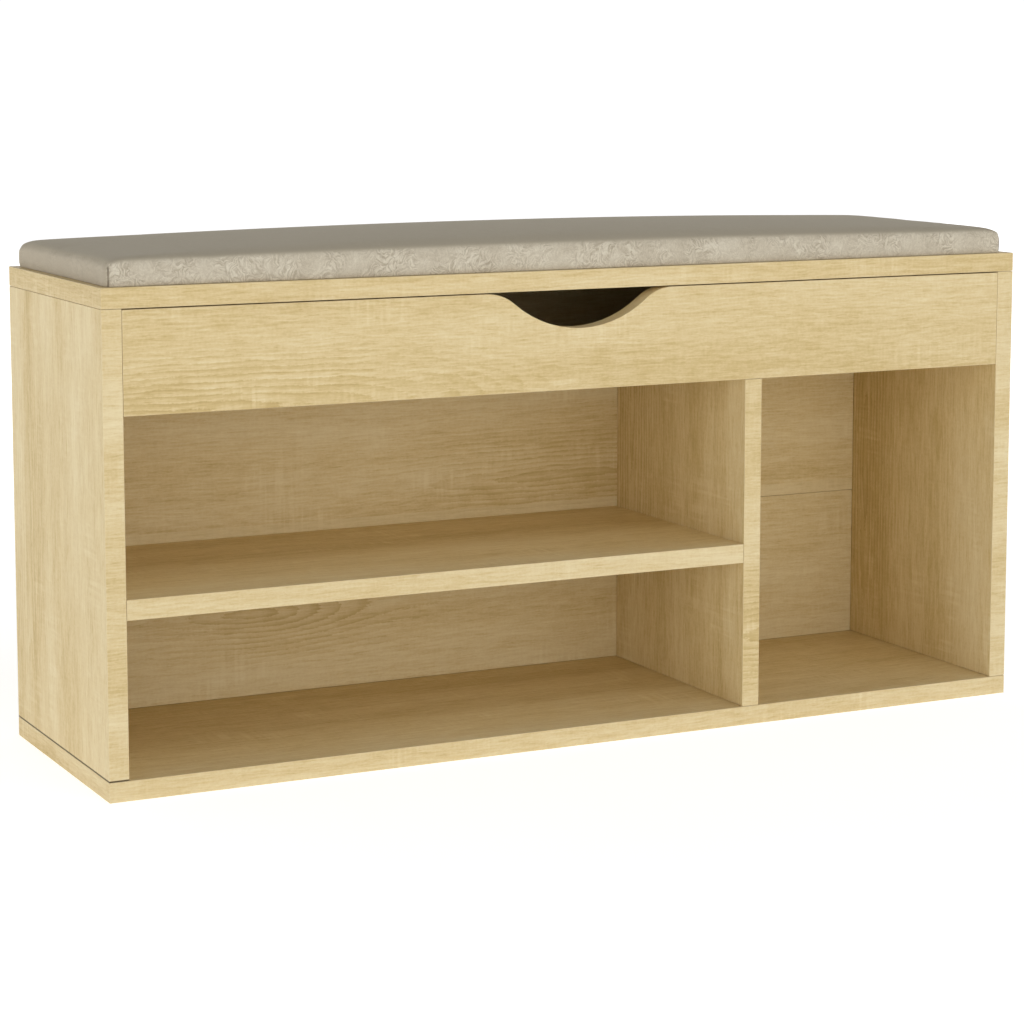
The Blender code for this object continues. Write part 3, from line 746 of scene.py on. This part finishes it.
def crown(points, low, high, crown_rise):
    """Lifts the top into a crown and draws the sides in between the corners."""
    middle, half = (low + high) / 2, (high - low) / 2
    u = np.clip((points[:, 0] - middle[0]) / half[0], -1, 1)
    v = np.clip((points[:, 1] - middle[1]) / half[1], -1, 1)
    height = np.clip((points[:, 2] - low[2]) / (high[2] - low[2]), 0, 1)
    along = (1 - np.abs(u) ** CROWN_ALONG[0]) ** CROWN_ALONG[1]
    across = (1 - np.abs(v) ** CROWN_ACROSS[0]) ** CROWN_ACROSS[1]
    rise = crown_rise * along * across
    lip = PAD_LIP * (1 - u**2)
    moved = points.copy()
    near_end = np.clip((np.abs(u) - CORNER_ALONG[0]) / CORNER_ALONG[1], 0, 1)
    near_side = np.clip((np.abs(v) - CORNER_ACROSS[0]) / CORNER_ACROSS[1], 0, 1)
    corner = near_end**2 * near_side**2
    moved[:, 2] += height**2 * (rise + lip - PAD_DROOP * corner)
    moved[:, 1] -= np.sign(v) * PAD_SIDE_PULL * (1 - u**4) * np.abs(v) ** 3
    moved[:, 0] -= np.sign(u) * PAD_END_PULL * (1 - v**4) * np.abs(u) ** 3
    return moved


def swell(piece, cap):
    """Lets the closed cover swell under its filling, by no more than the cap."""
    before = points_of(piece.data)
    cloth = piece.modifiers.new("Swell", "CLOTH")
    settings = cloth.settings
    settings.quality = 4
    settings.mass = 0.25
    settings.tension_stiffness = 25.0
    settings.compression_stiffness = 25.0
    settings.bending_stiffness = 2.0
    settings.use_pressure = True
    settings.uniform_pressure_force = PAD_PRESSURE
    settings.effector_weights.gravity = 0.0
    cloth.point_cache.frame_start = 1
    cloth.point_cache.frame_end = PAD_FRAMES
    for frame in range(1, PAD_FRAMES + 1):
        bpy.context.scene.frame_set(frame)
    apply_modifiers(piece)
    bpy.context.scene.frame_set(1)
    after = points_of(piece.data)
    move = after - before
    length = np.linalg.norm(move, axis=1, keepdims=True)
    eased = cap * np.tanh(length / cap) / np.maximum(length, 1e-9)
    set_points(piece.data, before + move * eased)


def add_seams(piece, low, high):
    """Cuts the form off flat where it lies on the lid, and sinks the seams where the end panels
    are sewn to the long panel."""
    shape = bmesh.new()
    shape.from_mesh(piece.data)
    bmesh.ops.bisect_plane(
        shape,
        geom=shape.verts[:] + shape.edges[:] + shape.faces[:],
        dist=CUT_NEAR,
        plane_co=(0, 0, low.z),
        plane_no=(0, 0, -1),
        clear_outer=True,
    )
    for seam in (low.x + SEAM_INSET, high.x - SEAM_INSET):
        for offset in (-SEAM_HALF, 0.0, SEAM_HALF):
            bmesh.ops.bisect_plane(
                shape,
                geom=shape.verts[:] + shape.edges[:] + shape.faces[:],
                dist=CUT_NEAR,
                plane_co=(seam + offset, 0, 0),
                plane_no=(1, 0, 0),
            )
        shape.normal_update()
        for point in shape.verts:
            if abs(point.co.x - seam) < SEAM_NEAR:
                point.co.y -= SEAM_DEPTH * point.normal.y * abs(point.normal.y)
    bmesh.ops.holes_fill(shape, edges=[edge for edge in shape.edges if edge.is_boundary])
    bmesh.ops.recalc_face_normals(shape, faces=shape.faces)
    shape.to_mesh(piece.data)
    shape.free()


def settle_rear(points, high):
    """Keeps the cover's rear face straight where the zip is sewn in."""
    zip_low, zip_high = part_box("cushion_zip")
    rear = points[:, 1] > high.y - REAR_FACE
    reach = zip_high.x + ZIP_BAND_END - np.abs(points[:, 0])
    along = np.clip(reach / ZIP_BAND_END, 0, 1)
    middle = (zip_low.z + zip_high.z) / 2
    level = np.clip((ZIP_BAND - np.abs(points[:, 2] - middle)) / ZIP_BAND_FADE, 0, 1)
    points[:, 1] += rear * along * level * (zip_low.y - ZIP_SEAT - points[:, 1])
    points[:, 1] = np.minimum(points[:, 1], high.y + REAR_BULGE)
    return points


def add_cushion(cloth):
    """The seat cushion, swelled from a rounded block and resting on the lid."""
    low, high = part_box("cushion_cover")
    shrink = Vector((PAD_SHRINK, PAD_SHRINK, 0.0))
    start_low = low + shrink - Vector((0, 0, PAD_CORNER))
    start_high = Vector((high.x, high.y, low.z + PAD_EDGE_HEIGHT)) - shrink
    pad = rounded_block("cushion_pad", start_low, start_high, PAD_CORNER)
    remesh = pad.modifiers.new("Even", "REMESH")
    remesh.mode = "VOXEL"
    remesh.voxel_size = PAD_VOXEL
    apply_modifiers(pad)
    rise = high.z - (low.z + PAD_EDGE_HEIGHT) - PAD_LIP - PAD_HEADROOM
    points = crown(points_of(pad.data), np.array(start_low), np.array(start_high), rise)
    set_points(pad.data, points)
    swell(pad, PAD_CAP)
    divide = pad.modifiers.new("Finer", "SUBSURF")
    divide.levels = 1
    divide.render_levels = 1
    apply_modifiers(pad)
    set_points(pad.data, settle_rear(points_of(pad.data), high))
    add_seams(pad, low, high)
    pad.data.materials.clear()
    pad.data.materials.append(cloth)
    pad.data.shade_smooth()
    pad.data.set_sharp_from_angle(angle=math.radians(SHARP_FOLD))
    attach(pad, "lid")
    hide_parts("cushion_cover", "cushion_foam", "cushion_base_cloth")


def add_block(shape, middle, size):
    """Adds a block to a mesh being built."""
    place = Matrix.Translation(middle) @ Matrix.Diagonal((*size, 1.0))
    bmesh.ops.create_cube(shape, size=1.0, matrix=place)


def add_zip(tape_cloth, metal_look):
    """Two tapes with a row of meshing teeth, sewn into the rear of the cover."""
    low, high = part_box("cushion_zip")
    middle = (low + high) / 2
    length = high.x - low.x
    tape_height = (high.z - low.z - ZIP_TOOTH[2]) / 2 + ZIP_TUCK
    shape = bmesh.new()
    for side in (-1, 1):
        place = middle.copy()
        place.y = low.y + ZIP_TAPE / 2
        place.z += side * ((high.z - low.z) / 2 - tape_height / 2)
        add_block(shape, place, (length, ZIP_TAPE, tape_height))
        bead = place.copy()
        bead.y += ZIP_TAPE / 2
        bead.z = middle.z + side * ZIP_TOOTH[2] * ZIP_BEAD_SIDE
        add_block(shape, bead, (length, ZIP_TAPE, ZIP_TAPE * ZIP_BEAD))
    bmesh.ops.bevel(
        shape, geom=shape.edges[:], offset=ZIP_TAPE / 5, segments=2, profile=0.5, affect="EDGES"
    )
    tape = new_piece("zip_tape_pair", shape, tape_cloth)
    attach(tape, "lid")
    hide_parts("cushion_zip")

    shape = bmesh.new()
    count = int((length - 2 * ZIP_END) / ZIP_PITCH)
    for number in range(count):
        side = 1 if number % 2 else -1
        place = middle.copy()
        place.x = low.x + ZIP_END + (number + 0.5) * ZIP_PITCH
        place.y = high.y - ZIP_TOOTH[1] / 2
        place.z += side * ZIP_TOOTH[2] * ZIP_TOOTH_SIDE
        add_block(shape, place, ZIP_TOOTH)
    bmesh.ops.bevel(
        shape,
        geom=shape.edges[:],
        offset=ZIP_TOOTH_EDGE,
        segments=1,
        profile=0.5,
        affect="EDGES",
    )
    teeth = new_piece("zip_teeth", shape, metal_look)
    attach(teeth, "lid")


# ---------------------------------------------------------------- studio


def add_floor():
    """A pale floor that glows a little and fades into the background."""
    shape = bmesh.new()
    bmesh.ops.create_grid(shape, x_segments=8, y_segments=8, size=FLOOR_SIZE / 2)
    material, w, shader = new_material("pale_floor")
    floor = new_piece("floor", shape, material)
    floor.location.z = -FLOOR_DROP
    place = w.node("ShaderNodeTexCoord").outputs["Object"]
    cloud = w.noise(place, 3.0, 2.0)
    stops = ((0.2, (0.80, 0.80, 0.79)), (0.8, (0.83, 0.83, 0.82)))
    w.join(w.ramp(cloud, stops), shader["Base Color"])
    w.join(w.add(0.80, w.times(cloud, 0.1)), shader["Roughness"])
    seen = w.node("ShaderNodeLightPath").outputs["Is Camera Ray"]
    fade = w.rise(w.vector("LENGTH", place)["Value"], *FLOOR_FADE)
    glow = w.add(FLOOR_GLOW, w.times(seen, w.add(FLOOR_SEEN, w.times(fade, FLOOR_FAR))))
    w.join(glow, shader["Emission Strength"])
    shader["Emission Color"].default_value = (1.0, 1.0, 1.0, 1.0)
    shader["Specular IOR Level"].default_value = 0.0


def add_surroundings():
    """A bright horizon under a dim sky, and an even white for the camera."""
    world = bpy.data.worlds.new("studio")
    bpy.context.scene.world = world
    world.use_nodes = True
    w = Wiring(world.node_tree)
    shade = world.node_tree.nodes["Background"]
    direction = w.parts(w.node("ShaderNodeTexCoord").outputs["Generated"])
    height = w.rise(direction[2], *SKY_FALL)
    seen = w.node("ShaderNodeLightPath").outputs["Is Camera Ray"]
    strength = w.pick(height, SKY_SIDE, SKY_TOP)
    w.join(w.pick(seen, strength, SKY_SEEN), shade.inputs["Strength"])
    tint = w.blend(seen, SKY_TINT, (1.0, 1.0, 1.0, 1.0))
    w.join(tint, shade.inputs["Color"])


def add_lamps():
    for name, lamp in LAMPS.items():
        light = bpy.data.lights.new(name, "AREA")
        light.shape = "RECTANGLE"
        light.size, light.size_y = lamp["size"]
        light.energy = lamp["power"]
        holder = bpy.data.objects.new(name, light)
        holder.location = lamp["place"]
        aim = Vector(LAMP_TARGET) - Vector(lamp["place"])
        holder.rotation_euler = aim.to_track_quat("-Z", "Y").to_euler()
        holder.visible_camera = False
        bpy.context.scene.collection.objects.link(holder)


def add_camera():
    lens = bpy.data.cameras.new("camera")
    lens.lens = CAMERA_LENS
    lens.sensor_width = CAMERA_SENSOR
    lens.shift_y = CAMERA_SHIFT
    camera = bpy.data.objects.new("camera", lens)
    camera.location = CAMERA_PLACE
    camera.rotation_euler = (math.radians(90 - CAMERA_PITCH), 0, -math.radians(CAMERA_YAW))
    bpy.context.scene.collection.objects.link(camera)
    bpy.context.scene.camera = camera


# ---------------------------------------------------------------- the bench

BOARDS = {
    "lid_panel": {"seed": 1.7, "heart": 0.30, "depth": 0.05, "spot": 0.2, "figure": 0.4},
    "front_apron": {
        "seed": 4.2,
        "heart": 0.372,
        "depth": 0.052,
        "lean": 0.12,
        "spot": -0.37,
        "figure": 0.9,
    },
    "left_side_panel": {
        "upright": 1.0,
        "seed": 7.9,
        "heart": 0.100,
        "depth": 0.012,
        "lean": 0.03,
        "spot": 0.22,
        "figure": 0.7,
        "bands": 2.3,
        "tone": 0.07,
        "foot_glue_and_shade": 1.0,
    },
    "right_side_panel": {
        "upright": 1.0,
        "seed": 12.3,
        "heart": 0.100,
        "depth": -0.020,
        "lean": 0.10,
        "spot": 0.22,
        "bands": 1.4,
        "depth_shade": 0.16,
    },
    "divider_panel": {
        "upright": 1.0,
        "seed": 15.1,
        "heart": 0.095,
        "depth": -0.030,
        "lean": 0.10,
        "spot": 0.28,
        "bands": 1.4,
    },
    "shelf_panel": {
        "seed": 19.6,
        "heart": 0.25,
        "depth": 0.04,
        "figure": 0.6,
        "bands": 1.3,
        "depth_shade": 0.22,
    },
    "storage_floor": {"seed": 22.8, "heart": 0.02, "depth": 0.03, "figure": 0.8},
    "bottom_panel": {
        "seed": 26.4,
        "heart": 0.20,
        "depth": 0.05,
        "figure": 0.6,
        "bands": 1.3,
        "depth_shade": 0.22,
    },
    "upper_back_panel": {
        "seed": 33.3,
        "heart": 0.232,
        "depth": -0.010,
        "lean": 0.10,
        "spot": 0.10,
        "figure": 0.8,
        "bands": 1.2,
        "tone": 0.06,
        "pale_foot": 0.0145,
    },
    "lower_back_panel": {
        "seed": 37.5,
        "heart": 0.110,
        "depth": 0.030,
        "lean": 0.12,
        "spot": -0.20,
        "bands": 1.2,
        "tone": 0.09,
    },
}


def finish_nodes(nodes):
    """Gives every piece of the frame its material, and returns the shared ones by slot."""
    build_groups()
    steel = metal("bright_steel", (0.62, 0.62, 0.63), 0.28, 300.0)
    zinc = metal("cast_zinc", (0.50, 0.50, 0.52), 0.42, 2000.0)
    nickel = metal("zip_metal", (0.55, 0.53, 0.48), 0.30, 900.0)
    others = {
        "steel_fittings": steel,
        "zinc_cams": zinc,
        "beech_dowels": beech(),
        "bumper_rubber": rubber(),
        "hook_strip": hook_tape(),
        "zip_tape": zip_cloth(),
        "zip_metal": nickel,
        "base_cloth": base_weave(),
        "foam": base_weave(),
        "cushion_cloth": base_weave(),
    }
    for name, node in nodes.items():
        slot = node.data.materials[0].name.split(".")[0]
        if name in BOARDS:
            node.material_slots[0].material = oak_board(name, BOARDS[name])
        else:
            node.material_slots[0].material = others[slot]
    return others


def main():
    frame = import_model()
    bpy.context.scene.view_settings.view_transform = "Standard"
    shared = finish_nodes(frame["nodes"])
    add_cushion(nap_cloth())
    add_zip(shared["zip_tape"], shared["zip_metal"])
    add_floor()
    add_surroundings()
    add_lamps()
    add_camera()


main()
